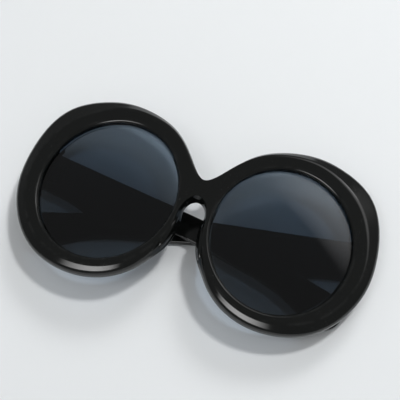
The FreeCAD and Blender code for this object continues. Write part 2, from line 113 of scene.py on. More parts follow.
# Small sizes of the surfaces' own, in millimetres
LEAF_PROUD = 0.05  # how far the hinge leaves stand proud of the plastic
PAD_EASE = 0.3  # half the width of the step between the rim's back and an end pad
NOSE_FLARE = 1.4  # how far the rim's back edge spreads over a nose pad
FLARE_GROWS = (-26.0, -14.0)  # the heights between which that flare grows
FLARE_FADES = (-6.0, 2.0)  # and those between which it fades again
WALL_ROUND = 0.5  # rounding of the lens opening's back edge
BACK_ROUND = 0.9  # rounding of the rim's outer back edge
ROUNDING_FADE = 5.0  # how far from the middle plane two of the roundings start to fade
LENS_TONGUE = 0.45  # how far a lens reaches into its groove
EDGE_RUN = 0.1  # the flat run beside each rounded edge of a temple

# Limits: the most of a side that a corner's cut takes, the least length that is divided by,
# and the share of the lens opening's reach that a nose pad stays outside
CUT_LIMIT = 0.45
TINY = 1e-9
NOSE_PAD_OUTSIDE = 1.002

# How finely the surfaces are divided: counts, and shares of the length that they divide
CORNER_STEPS = 5
RUN_PARTS = np.array([0.04, 0.35, 0.65, 0.96])
RIM_ROWS = 300
RIM_END_ROWS = 14
RIM_END_SHARE = 0.05
BRIDGE_ROWS = 24
NOSE_PAD_STEPS = 40
LENS_RINGS = 28
LENS_STEPS = 160
OUTLINE_STEPS = 4001
TEMPLE_STATIONS = 160
TIP_STATIONS = 80
EDGE_STEPS = 6
FACE_PARTS = np.array([0.0, 0.5, 0.93])

# How meshes are closed and shaded, in metres and radians
MERGE_DISTANCE = 2e-6
EMPTY_LENGTH = 1e-6
SHARP_ANGLE = math.radians(40)

# Shares of the lens tint, in red, green and blue, at the bottom of a lens and at its brow
# The darker, greyer bottom is painted shade, standing in for the shadowed floor seen through a lens's lower
# part
LENS_SHARES_WITH_PAINTED_SHADE = ((0.36, 0.32, 0.28), (0.69, 0.69, 0.68))

# How strongly the plastics refract, and the colours of dust and of the surroundings
LENS_IOR = 1.5
ACETATE_IOR = 1.49
DUST_COLOUR = (0.32, 0.32, 0.31)
SKY_COLOUR = (0.97, 0.985, 1.0, 1.0)

# The metal finishes by the last word of a CAD node's name: name, colour, roughness and the grain's fineness
METALS = {
    "hinge": ("black-plated hinge metal", (0.03, 0.03, 0.032), 0.3, 4000.0),
    "screw": ("turned screw metal", (0.62, 0.61, 0.58), 0.2, 6000.0),
    "core": ("drawn core wire", (0.5, 0.49, 0.46), 0.3, 3000.0),
}

# The lamps that light the object without being mirrored, and those that are only mirrored:
# each one's direction from the object, and its width and height in metres
LIGHTING_LAMPS = {
    "key": ((0.27, 0.3, 0.915), (0.18, 0.18)),
    "back": ((0.12, 0.757, 0.643), (0.7, 0.5)),
    "top": ((-0.2, -0.35, 0.915), (0.6, 0.6)),
}
MIRRORED_LAMPS = {
    "fill": ((-0.14, -0.77, 0.622), (1.3, 0.4)),
    "glow": ((0.4, 0.66, 0.63), (1.1, 0.75)),
    "edge": ((0.424, 0.745, 0.515), (0.24, 0.24)),
}
LAMP_DISTANCE = 1.3
FLOOR_HALF = 3.0

# A lamp's light falls off as x(1 - x) across it, which is 1/6 on average.
# It does so both ways, so this gain keeps the lamp's power.
LAMP_GAIN = 36.0

# Where the camera aims: a level above the floor, then to the right and up in the picture, in millimetres
AIM_LEVEL = 18.0
AIM_RIGHT = 2.33
AIM_UP = 5.63

# The nearest place that the camera sees, in metres
CAMERA_NEAR = 0.01


def turn_about_y(angle):
    """The matrix that turns points about the upright axis."""
    return np.array(
        [[math.cos(angle), 0, math.sin(angle)], [0, 1, 0], [-math.sin(angle), 0, math.cos(angle)]]
    )


def turn_about_z(angle):
    """The matrix that turns points in the plane of the front."""
    return np.array(
        [[math.cos(angle), -math.sin(angle), 0], [math.sin(angle), math.cos(angle), 0], [0, 0, 1]]
    )


# The front leans so that one temple lies over the other: its own axes and origin in the shared frame
HINGE_SPAN = LEFT_AXIS - RIGHT_AXIS
LEAN_TURN = turn_about_y(math.atan2(-HINGE_SPAN[2], HINGE_SPAN[0]))
FRONT_BASE = (LEFT_AXIS + RIGHT_AXIS) / 2 - LEAN_TURN @ np.array([0, HINGE_LEVEL, END_BACK - AXIS_BEHIND])


def smooth_step(value, low, high):
    """0 below low, 1 above high, and the cubic 3t^2 - 2t^3 between them."""
    part = np.clip((value - low) / (high - low), 0, 1)
    return part * part * (3 - 2 * part)


def spline(knots, points, at, ends=None):
    """A cubic spline through points at knots, read at the given parameters.

    The slopes at the knots solve the usual band of equations that keeps the curvature continuous.
    Its ends have the slopes in ends, or no curvature where ends is None.
    """
    count = len(knots)
    step = np.diff(knots)[:, None]
    rise = np.diff(points, axis=0) / step
    band = np.zeros((count, count))
    right = np.zeros_like(points)
    inner = np.arange(1, count - 1)
    before, after = step[:-1, 0], step[1:, 0]
    band[inner, inner - 1] = after
    band[inner, inner] = 2 * (before + after)
    band[inner, inner + 1] = before
    right[1:-1] = 3 * (step[1:] * rise[:-1] + step[:-1] * rise[1:])
    if ends is None:
        band[0, :2] = 2, 1
        band[-1, -2:] = 1, 2
        right[0], right[-1] = 3 * rise[0], 3 * rise[-1]
    else:
        band[0, 0] = band[-1, -1] = 1
        right[0], right[-1] = ends
    slopes = np.linalg.solve(band, right)
    place = np.clip(np.searchsorted(knots, at, side="right") - 1, 0, count - 2)
    width = step[place]
    t = ((at - knots[place]) / width[:, 0])[:, None]
    start, end = points[place], points[place + 1]
    leave, arrive = slopes[place] * width, slopes[place + 1] * width
    return (
        start * (1 + 2 * t) * (1 - t) ** 2
        + leave * t * (1 - t) ** 2
        + end * t * t * (3 - 2 * t)
        + arrive * t * t * (t - 1)
    )


def eased_width(widths, angle):
    """Widths at angles round the lens centre: a half cosine wave from one station to the next."""
    place = np.clip(np.searchsorted(RIM_STATIONS, angle, side="right") - 1, 0, len(RIM_STATIONS) - 2)
    low, high = RIM_STATIONS[place], RIM_STATIONS[place + 1]
    ease = (1 - np.cos(np.pi * (angle - low) / (high - low))) / 2
    return widths[place] * (1 - ease) + widths[place + 1] * ease


def lens_reach(angle, spread=0.0):
    """How far the lens opening, an ellipse grown by spread, reaches from its centre at angles."""
    wide, high = LENS_HALF_WIDTH + spread, LENS_HALF_HEIGHT + spread
    return 1 / np.hypot(np.cos(angle) / wide, np.sin(angle) / high)


def round_lens(angle, reach):
    """Points of the rim's plane at angles round the lens centre, by how far they are from it."""
    return np.stack([LENS_X + reach * np.cos(angle), reach * np.sin(angle)], axis=-1)


def lens_edge(angle, spread=0.0):
    """Points of the lens opening, grown by spread, at angles round its centre."""
    return round_lens(angle, lens_reach(angle, spread))


def half_front_outline(on_ring, at):
    """The front's outer edge, or the crease of its raised ring, read at shares of its run.

    It is one spline from the bridge's top round the lens to the nose arch, level at both ends.
    """
    width = eased_width(RIM_WIDTHS, RIM_ANGLES)
    inset = 0.0
    if on_ring:
        width = np.minimum(eased_width(RING_WIDTHS, RIM_ANGLES), width - BEVEL_LEAST)
        inset = BEVEL_LEAST
    turn = np.radians(RIM_ANGLES)
    rim = round_lens(turn, lens_reach(turn) + width)
    top = np.array([[0.0, BRIDGE_TOP - inset]])
    arch = np.array([[0.0, BRIDGE_TOP - BRIDGE_HEIGHT + inset]])
    points = np.concatenate([top, rim, arch])
    return spline(np.linspace(0, 1, len(points)), points, at, (OUTLINE_SLOPE, -OUTLINE_SLOPE))


def with_level(flat, level):
    """Points of a plane raised to a level."""
    levels = np.broadcast_to(np.asarray(level, float), flat.shape[:-1])
    return np.concatenate([flat, levels[..., None]], axis=-1)


def wrapped(across, up, level):
    """Points of the rim's plane turned about the upright axis by the wrap angle, without a fold."""
    x = across * math.cos(WRAP) + level * math.sin(WRAP)
    return np.stack([x, up, -across * math.sin(WRAP) + level * math.cos(WRAP)], axis=-1)


def folded(points, fold):
    """Points of the rim's plane bent down at the middle plane by the wrap angle.

    Within the fold's width the slope grows evenly from level to the wrap angle.
    Beyond it the rim is flat.
    """
    across, up, level = points[..., 0], points[..., 1], points[..., 2]
    inside = np.minimum(across, fold)
    turn = WRAP * inside / fold
    fall = math.sin(WRAP) * (fold / 2 + inside**2 / fold / 2 + np.maximum(across - fold, 0))
    x = across * math.cos(WRAP) + level * np.sin(turn)
    return np.stack([x, up, level * np.cos(turn) - fall], axis=-1)


def seated(points, side):
    """Points of the front's own frame, in millimetres, at their place in the shared frame, in metres."""
    points = points * np.array([side, 1, 1])
    return (points @ LEAN_TURN.T + FRONT_BASE) * MM


def rounded_profile(corners, cuts, closed):
    """Profiles with rounded corners, one row for each row of the corner arrays.

    Each corner becomes a quadratic curve that leaves the sides at the corner's cut, at most CUT_LIMIT
    of a side, and each straight run between two corners keeps points near its ends, so that flat faces
    stay flat. Returns the points and an edge mask that rises to 1 on the curves and is 0 on the runs.
    """
    count = len(corners)
    t = np.linspace(0, 1, CORNER_STEPS)[None, :, None]
    ends = []
    for place, corner in enumerate(corners):
        if not closed and place in (0, count - 1):
            ends.append((corner, corner, corner[:, None], np.zeros(1)))
            continue
        before, after = corners[place - 1] - corner, corners[(place + 1) % count] - corner
        short, long = np.linalg.norm(before, axis=1), np.linalg.norm(after, axis=1)
        leave = np.minimum(cuts[place], CUT_LIMIT * short)
        arrive = np.minimum(cuts[place], CUT_LIMIT * long)
        start = corner + before * (leave / np.maximum(short, TINY))[:, None]
        end = corner + after * (arrive / np.maximum(long, TINY))[:, None]
        curve = start[:, None] * (1 - t) ** 2 + corner[:, None] * 2 * t * (1 - t) + end[:, None] * t * t
        ends.append((start, end, curve, np.sin(np.pi * np.linspace(0, 1, CORNER_STEPS))))
    rows = []
    mask = []
    part = RUN_PARTS[None, :, None]
    for place, (_, end, curve, bright) in enumerate(ends):
        rows.append(curve)
        mask.append(bright)
        if closed or place < count - 1:
            ahead = ends[(place + 1) % count][0]
            rows.append(end[:, None] * (1 - part) + ahead[:, None] * part)
            mask.append(np.zeros(len(RUN_PARTS)))
    return np.concatenate(rows, axis=1), np.concatenate(mask)


def grid_faces(rows, columns, wrap=False):
    """The quads of a grid of points, with the last column joined to the first where it wraps."""
    row = np.arange(rows - 1)[:, None]
    column = np.arange(columns if wrap else columns - 1)[None, :]
    here, ahead, beside = row * columns, (row + 1) * columns, (column + 1) % columns
    quads = np.broadcast_arrays(here + column, ahead + column, ahead + beside, here + beside)
    return np.stack(quads, axis=-1).reshape(-1, 4)


def piece_from_grids(name, grids):
    """A mesh object from grids of points in metres, closed and shaded, with an edge mask.

    Each grid is its points, its faces and its mask, which becomes the point attribute edge.
    """
    points = np.concatenate([grid[0].reshape(-1, 3) for grid in grids])
    starts = np.cumsum([0] + [grid[0].size // 3 for grid in grids[:-1]])
    faces = np.concatenate([grid[1] + start for grid, start in zip(grids, starts)])
    mask = np.concatenate([np.broadcast_to(grid[2], grid[0].shape[:-1]).reshape(-1) for grid in grids])
    mesh = bpy.data.meshes.new(name)
    mesh.from_pydata(points, [], faces)
    layer = mesh.attributes.new("edge", "FLOAT", "POINT")
    layer.data.foreach_set("value", mask.astype(np.float32))
    close_mesh(mesh)
    item = bpy.data.objects.new(name, mesh)
    bpy.context.scene.collection.objects.link(item)
    return item


def close_mesh(mesh):
    """Merge doubles, drop empty faces, close open ends, turn the faces outwards and shade by angle."""
    shell = bmesh.new()
    shell.from_mesh(mesh)
    bmesh.ops.remove_doubles(shell, verts=shell.verts, dist=MERGE_DISTANCE)
    bmesh.ops.dissolve_degenerate(shell, edges=shell.edges, dist=EMPTY_LENGTH)
    bmesh.ops.holes_fill(shell, edges=shell.edges, sides=0)
    bmesh.ops.recalc_face_normals(shell, faces=shell.faces)
    shell.to_mesh(mesh)
    shell.free()
    mesh.shade_smooth()
    mesh.set_sharp_from_angle(angle=SHARP_ANGLE)


def place_piece(item, body, material, slot, *nodes):
    """Give a piece its finish, let it ride on its body and stand for its CAD nodes; its slot is not used.
    """
    item.data.materials.append(material)
    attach(item, body)
    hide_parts(*nodes)


def end_pad_level(points):
    """The level of the rim's back at points of its plane.

    It is flat, but steps to the end piece's level at the hinge, whose leaf stands a little proud.
    """
    across, up = points[:, 0], points[:, 1]
    pad = (END_BACK + LEAF_PROUD + across * math.sin(WRAP)) / math.cos(WRAP)
    reach = END_PAD_HEIGHT / 2
    beside = 1 - smooth_step(np.abs(up - HINGE_LEVEL), reach - PAD_EASE, reach + PAD_EASE)
    beside = beside * (across > LENS_X)
    return -FRONT_THICKNESS + (pad + FRONT_THICKNESS) * beside


def nose_flare(outer):
    """How far the rim's back edge spreads over the nose pad, away from the lens centre."""
    up = outer[:, 1]
    share = smooth_step(up, *FLARE_GROWS) * (1 - smooth_step(up, *FLARE_FADES)) * (outer[:, 0] < LENS_X)
    away = outer - np.array([LENS_X, 0.0])
    return NOSE_FLARE * share[:, None] * away / np.linalg.norm(away, axis=1)[:, None]


def rim_grid(options):
    """Half of the front without the bridge: a rounded six-cornered profile carried round the rim.

    Its corners are the lip, the two ends of the opening's wall, the two ends of the outer wall
    and the crease of the raised ring. The cuts at the outer back and at the crease fade out
    at the middle plane.
    """
    u = np.concatenate(
        [
            np.linspace(0, RIM_END_SHARE, RIM_END_ROWS)[:-1],
            np.linspace(RIM_END_SHARE, 1 - RIM_END_SHARE, RIM_ROWS),
            np.linspace(1 - RIM_END_SHARE, 1, RIM_END_ROWS)[1:],
        ]
    )
    outer = half_front_outline(False, u)
    crease = half_front_outline(True, u)
    angle = np.arctan2(crease[:, 1], crease[:, 0] - LENS_X)
    wall = lens_edge(angle)
    corners = [
        with_level(lens_edge(angle, LENS_LIP), 0),
        with_level(wall, -LENS_LIP),
        with_level(wall, end_pad_level(wall)),
        with_level(outer + nose_flare(outer), end_pad_level(outer)),
        with_level(outer, -BEVEL_DROP),
        with_level(crease, 0),
    ]
    away = smooth_step(np.minimum(outer[:, 0], crease[:, 0]), 0.0, ROUNDING_FADE)
    even = np.ones_like(u)
    cuts = [
        options.lip_round / MM * even,
        options.lip_round / MM * even,
        WALL_ROUND * even,
        BACK_ROUND * away,
        options.edge_round / MM * even,
        options.crease_round / MM * away,
    ]
    return rounded_profile(corners, cuts, True)


def bridge_grid(options):
    """Half of the bridge: an open profile from the middle plane over the lens opening's wall and back.

    It fills the wedge between the two ends of the rim, with its rows spread evenly over the wedge.
    """
    at = np.array([0.0, 1.0])
    outer, crease = half_front_outline(False, at), half_front_outline(True, at)
    v = np.linspace(0, 1, BRIDGE_ROWS)[:, None]
    front = crease[:1] * (1 - v) + crease[1:] * v
    back = outer[:1] * (1 - v) + outer[1:] * v
    angle = np.arctan2(front[:, 1], front[:, 0] - LENS_X)
    wall = lens_edge(angle)
    corners = [
        with_level(front, 0),
        with_level(lens_edge(angle, LENS_LIP), 0),
        with_level(wall, -LENS_LIP),
        with_level(wall, -FRONT_THICKNESS),
        with_level(back, -FRONT_THICKNESS),
    ]
    even = np.ones(len(v))
    lip_cut = options.lip_round / MM * even
    cuts = [0 * even, lip_cut, lip_cut, WALL_ROUND * even, 0 * even]
    return rounded_profile(corners, cuts, False)


def nose_pad_grid():
    """A nose pad: an ellipsoid by longitude and latitude.

    What reaches into the lens opening is pushed out to just behind the opening's wall.
    """
    around = np.linspace(0, 2 * np.pi, NOSE_PAD_STEPS + 1)[:-1]
    across, along = np.meshgrid(around, np.linspace(-np.pi / 2, np.pi / 2, NOSE_PAD_STEPS + 1))
    ball = np.stack(
        [np.cos(along) * np.cos(across), np.sin(along), np.cos(along) * np.sin(across)], axis=-1
    )
    splay, lean = np.radians(NOSE_PAD_ANGLES)
    turned = turn_about_z(splay) @ turn_about_y(lean)
    pad = ball * NOSE_PAD_RADII @ turned.T + NOSE_PAD_CENTRE
    plane_x = pad[..., 0] * math.cos(WRAP) - pad[..., 2] * math.sin(WRAP)
    level = pad[..., 0] * math.sin(WRAP) + pad[..., 2] * math.cos(WRAP)
    reach = np.hypot((plane_x - LENS_X) / LENS_HALF_WIDTH, pad[..., 1] / LENS_HALF_HEIGHT)
    push = np.maximum(NOSE_PAD_OUTSIDE / reach, 1)
    return wrapped(LENS_X + (plane_x - LENS_X) * push, pad[..., 1] * push, level)


def lens_grid():
    """A lens: a profile from the front dome's middle over the hidden edge to the back dome's middle.

    It is carried round the opening, so that its reach grows with the opening's ellipse.
    Both domes are spheres with one centre.
    """
    part = np.concatenate([np.linspace(0, 1, LENS_RINGS), [1.0], np.linspace(1, 0, LENS_RINGS)[1:]])
    outside = np.concatenate([np.ones(LENS_RINGS), [0.5], np.zeros(LENS_RINGS - 1)])
    angle = np.linspace(0, 2 * np.pi, LENS_STEPS + 1)[:-1]
    edge = lens_edge(angle, LENS_TONGUE) - np.array([LENS_X, 0.0])
    flat = part[:, None, None] * edge[None]
    radius = LENS_RADIUS - LENS_THICKNESS * (1 - outside)
    mean_half = (LENS_HALF_WIDTH + LENS_HALF_HEIGHT) / 2
    centre = -LENS_RECESS - math.sqrt(LENS_RADIUS**2 - mean_half**2)
    level = centre + np.sqrt(radius[:, None] ** 2 - np.sum(flat**2, axis=-1))
    return wrapped(flat[..., 0] + LENS_X, flat[..., 1], level)


def top_edge(along):
    """The height of a temple's top edge: a straight slope, then a bend that follows a wide curve."""
    bent = np.maximum(0, along - BEND_START)
    return TEMPLE_TOP - TEMPLE_SLOPE * along - bent**2 / BEND_RADIUS / 2


def outline_place(part):
    """Places along a temple: parts 0 to 1 lead from the hinge axis to the bend, and 1 to 2 to the tip."""
    return BEND_START * np.minimum(part, 1) + (TIP_X - BEND_START) * np.maximum(part - 1, 0)


def temple_outline(at):
    """A temple's outline seen from its side, read at shares of its length.

    It is one spline from the top of the butt end along the upper edge, round the tip and back.
    """
    tip_slope = TEMPLE_SLOPE + (TIP_X - BEND_START) / BEND_RADIUS
    tip_y = top_edge(TIP_X) - TIP_RADIUS * math.hypot(1, tip_slope)
    upper = np.array([TEMPLE_BUTT, *outline_place(UPPER_PARTS), TIP_X - TIP_RADIUS / 2])
    turn = np.radians(TIP_ANGLES)
    lower = np.array([TIP_X - 2 * TIP_RADIUS, *outline_place(LOWER_PARTS), TEMPLE_BUTT])
    points = np.concatenate(
        [
            np.stack([upper, top_edge(upper)], axis=1),
            np.stack([TIP_X + TIP_RADIUS * np.cos(turn), tip_y + TIP_RADIUS * np.sin(turn)], axis=1),
            np.stack([lower, top_edge(lower) - LOWER_HEIGHTS], axis=1),
        ]
    )
    chords = np.linalg.norm(np.diff(points, axis=0), axis=1)
    knots = np.concatenate([[0], np.cumsum(chords)])
    return spline(knots, points, at * knots[-1])


def temple_rows():
    """Points of a temple's outline from the butt end round the tip and back, and its spine beside them.

    The spine runs halfway between the upper and the lower edge. The points above and below it stand
    at the same places along it, and those round the tip all share its end.
    """
    fine = np.linspace(0, 1, OUTLINE_STEPS)
    outline = temple_outline(fine)
    last = int(np.argmax(outline[:, 0]))
    stations = np.linspace(TEMPLE_BUTT, TIP_X, TEMPLE_STATIONS)
    above = np.interp(stations, outline[:last, 0], fine[:last])
    below = np.interp(stations, outline[:last:-1, 0], fine[:last:-1])
    round_tip = np.linspace(above[-1], below[-1], TIP_STATIONS)[1:-1]
    outline = temple_outline(np.concatenate([above, round_tip, below[::-1]]))
    middle = (outline[:TEMPLE_STATIONS, 1] + outline[::-1][:TEMPLE_STATIONS, 1]) / 2
    half_spine = np.stack([stations, middle], axis=1)
    tip_spine = np.repeat(half_spine[-1:], len(round_tip), axis=0)
    return outline, np.concatenate([half_spine, tip_spine, half_spine[::-1]])


def temple_grid(options):
    """A temple about its hinge axis: a rounded profile across its thickness, carried along its outline.

    Each profile starts on the spine at the outer side, runs out to the outline, over its two rounded
    edges and back to the spine at the inner side.
    """
    outline, spine = temple_rows()
    ahead = np.gradient(outline, axis=0)
    ahead /= np.linalg.norm(ahead, axis=1)[:, None]
    inward = np.stack([ahead[:, 1], -ahead[:, 0]], axis=1)
    round_by = options.temple_round / MM
    turn = np.linspace(0, np.pi / 2, EDGE_STEPS)
    outer, inner = -AXIS_INSIDE - TEMPLE_THICKNESS, -AXIS_INSIDE - LEAF_PROUD
    inset = np.concatenate([round_by * (1 - np.sin(turn)), [0, 0], round_by * (1 - np.cos(turn))])
    level = np.concatenate(
        [
            outer + round_by * (1 - np.cos(turn)),
            [outer + round_by + EDGE_RUN, inner - round_by - EDGE_RUN],
            inner - round_by * (1 - np.sin(turn)),
        ]
    )
    bright = np.concatenate([np.sin(2 * turn), [0, 0], np.sin(2 * turn)])
    edge = outline[:, None] + inward[:, None] * inset[None, :, None]
    edge[:1, :, 0] = edge[-1:, :, 0] = TEMPLE_BUTT
    out = FACE_PARTS[None, :, None]
    back = out[:, ::-1]
    flat = np.concatenate(
        [
            spine[:, None] * (1 - out) + edge[:, :1] * out,
            edge,
            spine[:, None] * (1 - back) + edge[:, -1:] * back,
        ],
        axis=1,
    )
    even = np.ones(len(FACE_PARTS))
    levels = np.concatenate([outer * even, level, inner * even])
    mask = np.concatenate([0 * even, bright, 0 * even])
    return with_level(flat, levels[None, :]), mask


def group_with(name, inputs, outputs):
    """A new shader node group with named inputs, given with their defaults, and named outputs."""
    tree = bpy.data.node_groups.new(name, "ShaderNodeTree")
    for label, default in inputs.items():
        socket = tree.interface.new_socket(label, in_out="INPUT", socket_type="NodeSocketFloat")
        socket.default_value = default
    for label in outputs:
        tree.interface.new_socket(label, in_out="OUTPUT", socket_type="NodeSocketFloat")
    return tree, tree.nodes.new("NodeGroupInput"), tree.nodes.new("NodeGroupOutput")


def feed(tree, value, socket):
    """Link a socket to another one, or set it to a plain value."""
    if isinstance(value, bpy.types.NodeSocket):
        tree.links.new(value, socket)
    else:
        socket.default_value = value


def math_node(tree, operation, *values):
    """A maths node fed by sockets or plain numbers, and its output."""
    node = tree.nodes.new("ShaderNodeMath")
    node.operation = operation
    for value, socket in zip(values, node.inputs):
        feed(tree, value, socket)
    return node.outputs[0]


def object_place(tree):
    """Object coordinates."""
    return tree.nodes.new("ShaderNodeTexCoord").outputs["Object"]


def noise_node(tree, coordinates, scale, detail=4.0):
    """A noise texture on the given coordinates, and its value."""
    node = tree.nodes.new("ShaderNodeTexNoise")
    node.inputs["Detail"].default_value = detail
    node.inputs["Roughness"].default_value = 0.55
    tree.links.new(coordinates, node.inputs["Vector"])
    feed(tree, scale, node.inputs["Scale"])
    return node.outputs["Fac"]


def ramp_node(tree, value, low, high):
    """A smooth mask that goes from 0 at low to 1 at high."""
    node = tree.nodes.new("ShaderNodeMapRange")
    node.interpolation_type = "SMOOTHSTEP"
    node.inputs["From Min"].default_value = low
    node.inputs["From Max"].default_value = high
    tree.links.new(value, node.inputs["Value"])
    return node.outputs["Result"]


def stretched_place(tree, turn, stretch):
    """Object coordinates turned about the vertical and stretched along one direction."""
    mapping = tree.nodes.new("ShaderNodeMapping")
    mapping.inputs["Rotation"].default_value = (0, 0, turn)
    mapping.inputs["Scale"].default_value = (1, stretch, 1)
    tree.links.new(object_place(tree), mapping.inputs["Vector"])
    return mapping.outputs["Vector"]


def hairline_group():
    """Hairline scratches: thin bands of two stretched noises, turned against each other, as a mask."""
    tree, given, result = group_with("hairline scratches", {"Amount": 0.5}, ["Mask"])
    masks = []
    for turn, scale in ((0.5, 900.0), (-0.9, 700.0)):
        fine = noise_node(tree, stretched_place(tree, turn, 0.04), scale, 2.0)
        middle = math_node(tree, "ABSOLUTE", math_node(tree, "SUBTRACT", fine, 0.5))
        masks.append(math_node(tree, "SUBTRACT", 1.0, ramp_node(tree, middle, 0.004, 0.018)))
    both = math_node(tree, "MAXIMUM", *masks)
    patchy = ramp_node(tree, noise_node(tree, object_place(tree), 60.0), 0.52, 0.72)
    worn = math_node(tree, "MULTIPLY", both, patchy)
    tree.links.new(math_node(tree, "MULTIPLY", worn, given.outputs["Amount"]), result.inputs["Mask"])
    return tree


def dust_group():
    """Dust: small sparse specks of a fine noise, gathered where a broad noise is high, as a mask."""
    tree, given, result = group_with("dust specks", {"Amount": 0.5}, ["Mask"])
    place = object_place(tree)
    specks = ramp_node(tree, noise_node(tree, place, 1900.0, 2.0), 0.7, 0.78)
    film = ramp_node(tree, noise_node(tree, place, 35.0, 3.0), 0.4, 0.7)
    mask = math_node(tree, "MULTIPLY", specks, film)
    tree.links.new(math_node(tree, "MULTIPLY", mask, given.outputs["Amount"]), result.inputs["Mask"])
    return tree


def polish_group():
    """Uneven polish: slow waves of a hand-buffed surface as a height, clouds, and wear as a mask.

    The wear is on the rounded edges, where a noise breaks it up.
    """
    tree, given, result = group_with(
        "buffed polish", {"Wave Size": 120.0, "Edge Wear": 0.5}, ["Height", "Wear", "Cloud"]
    )
    place = object_place(tree)
    wave = noise_node(tree, place, given.outputs["Wave Size"], 1.0)
    tree.links.new(wave, result.inputs["Height"])
    edge = tree.nodes.new("ShaderNodeAttribute")
    edge.attribute_name = "edge"
    broken = ramp_node(tree, noise_node(tree, place, 240.0, 6.0), 0.42, 0.62)
    rubbed = math_node(tree, "MULTIPLY", edge.outputs["Fac"], broken)
    tree.links.new(math_node(tree, "MULTIPLY", rubbed, given.outputs["Edge Wear"]), result.inputs["Wear"])
    tree.links.new(noise_node(tree, place, 45.0, 5.0), result.inputs["Cloud"])
    return tree


def grain_group():
    """Brushed grain: a noise drawn out along one direction, as a value round one half."""
    tree, given, result = group_with("brushed grain", {"Fineness": 4000.0}, ["Grain"])
    grain = noise_node(tree, stretched_place(tree, 0.0, 0.05), given.outputs["Fineness"], 3.0)
    tree.links.new(grain, result.inputs["Grain"])
    return tree


def placed_group(tree, name, make, **values):
    """A node group placed in a material with its own values, and built where it is the first one."""
    node = tree.nodes.new("ShaderNodeGroup")
    node.node_tree = bpy.data.node_groups.get(name) or make()
    for label, value in values.items():
        node.inputs[label.replace("_", " ")].default_value = value
    return node


def new_material(name):
    """A node material with only its output and a Principled shader, and both of them."""
    material = bpy.data.materials.new(name)
    material.use_nodes = True
    tree = material.node_tree
    tree.nodes.clear()
    output = tree.nodes.new("ShaderNodeOutputMaterial")
    shader = tree.nodes.new("ShaderNodeBsdfPrincipled")
    tree.links.new(shader.outputs["BSDF"], output.inputs["Surface"])
    return material, tree, shader, output


def scaled(colour, share):
    """A colour with all its parts times a share."""
    return tuple(share * part for part in colour)


def mixed_colour(tree, factor, first, second):
    """A colour mix of two plain or linked colours by a mask."""
    node = tree.nodes.new("ShaderNodeMix")
    node.data_type = "RGBA"
    tree.links.new(factor, node.inputs["Factor"])
    for value, socket in ((first, node.inputs[6]), (second, node.inputs[7])):
        feed(tree, (*value, 1.0) if isinstance(value, tuple) else value, socket)
    return node.outputs[2]


def clear_where(tree, mask, colour, shader, output):
    """Let a material's shader give way to a tinted clear one where a mask is 1."""
    clear = tree.nodes.new("ShaderNodeBsdfTransparent")
    clear.inputs["Color"].default_value = (*colour, 1.0)
    either = tree.nodes.new("ShaderNodeMixShader")
    tree.links.new(mask, either.inputs["Fac"])
    tree.links.new(shader.outputs["BSDF"], either.inputs[1])
    tree.links.new(clear.outputs["BSDF"], either.inputs[2])
    tree.links.new(either.outputs["Shader"], output.inputs["Surface"])


def gloss_acetate(options):
    """Polished black plastic: slow buffing waves, hairlines, dust and worn edges over one dark colour."""
    material, tree, shader, _ = new_material("gloss black acetate")
    polish = placed_group(tree, "buffed polish", polish_group, Wave_Size=110.0, Edge_Wear=options.edge_wear)
    hairs = placed_group(tree, "hairline scratches", hairline_group, Amount=0.6)
    dust = placed_group(tree, "dust specks", dust_group, Amount=options.dust)
    colour = tuple(options.acetate_colour)
    deep = mixed_colour(tree, polish.outputs["Cloud"], scaled(colour, 0.75), colour)
    worn = mixed_colour(tree, polish.outputs["Wear"], deep, tuple(0.02 + 1.6 * part for part in colour))
    dusty = mixed_colour(tree, dust.outputs["Mask"], worn, DUST_COLOUR)
    tree.links.new(dusty, shader.inputs["Base Color"])
    smooth = math_node(tree, "MULTIPLY_ADD", polish.outputs["Cloud"], 0.05, options.acetate_roughness)
    scuffed = math_node(tree, "MULTIPLY_ADD", hairs.outputs["Mask"], 0.25, smooth)
    faded = math_node(tree, "MULTIPLY_ADD", polish.outputs["Wear"], 0.2, scuffed)
    tree.links.new(faded, shader.inputs["Roughness"])
    bump = tree.nodes.new("ShaderNodeBump")
    bump.inputs["Strength"].default_value = 0.05
    bump.inputs["Distance"].default_value = 0.0004
    tree.links.new(polish.outputs["Height"], bump.inputs["Height"])
    tree.links.new(bump.outputs["Normal"], shader.inputs["Normal"])
    shader.inputs["IOR"].default_value = ACETATE_IOR
    return material


def tinted_lens(options):
    """Tinted lens plastic: clear, dark blue-grey, with a little dust, and darker and greyer towards the
    bottom as painted shade.

    Light that lights what is behind a lens passes each of its two faces with the root of the tint.
    """
    material, tree, shader, output = new_material("tinted lens")
    parts = tree.nodes.new("ShaderNodeSeparateXYZ")
    tree.links.new(object_place(tree), parts.inputs["Vector"])
    # Painted shade: the tint darkens and greys from the brow to the bottom, for the shadowed floor seen
    # below
    brow = ramp_node(tree, parts.outputs["Y"], -LENS_HALF_HEIGHT * MM, LENS_HALF_HEIGHT * MM)
    tint = tuple(options.lens_tint)
    low, high = (tuple(share * part for share, part in zip(shares, tint)) for shares in LENS_SHARES_WITH_PAINTED_SHADE)
    tree.links.new(mixed_colour(tree, brow, low, high), shader.inputs["Base Color"])
    dust = placed_group(tree, "dust specks", dust_group, Amount=0.5 * options.dust)
    hairs = placed_group(tree, "hairline scratches", hairline_group, Amount=0.3)
    film = math_node(tree, "MAXIMUM", dust.outputs["Mask"], hairs.outputs["Mask"])
    rough = math_node(tree, "MULTIPLY_ADD", film, 0.2, 0.012)
    tree.links.new(rough, shader.inputs["Roughness"])
    shader.inputs["Transmission Weight"].default_value = 1.0
    shader.inputs["IOR"].default_value = LENS_IOR
    rays = tree.nodes.new("ShaderNodeLightPath")
    each_face = tuple(math.sqrt(part) for part in tint)
    clear_where(tree, rays.outputs["Is Shadow Ray"], each_face, shader, output)
    return material


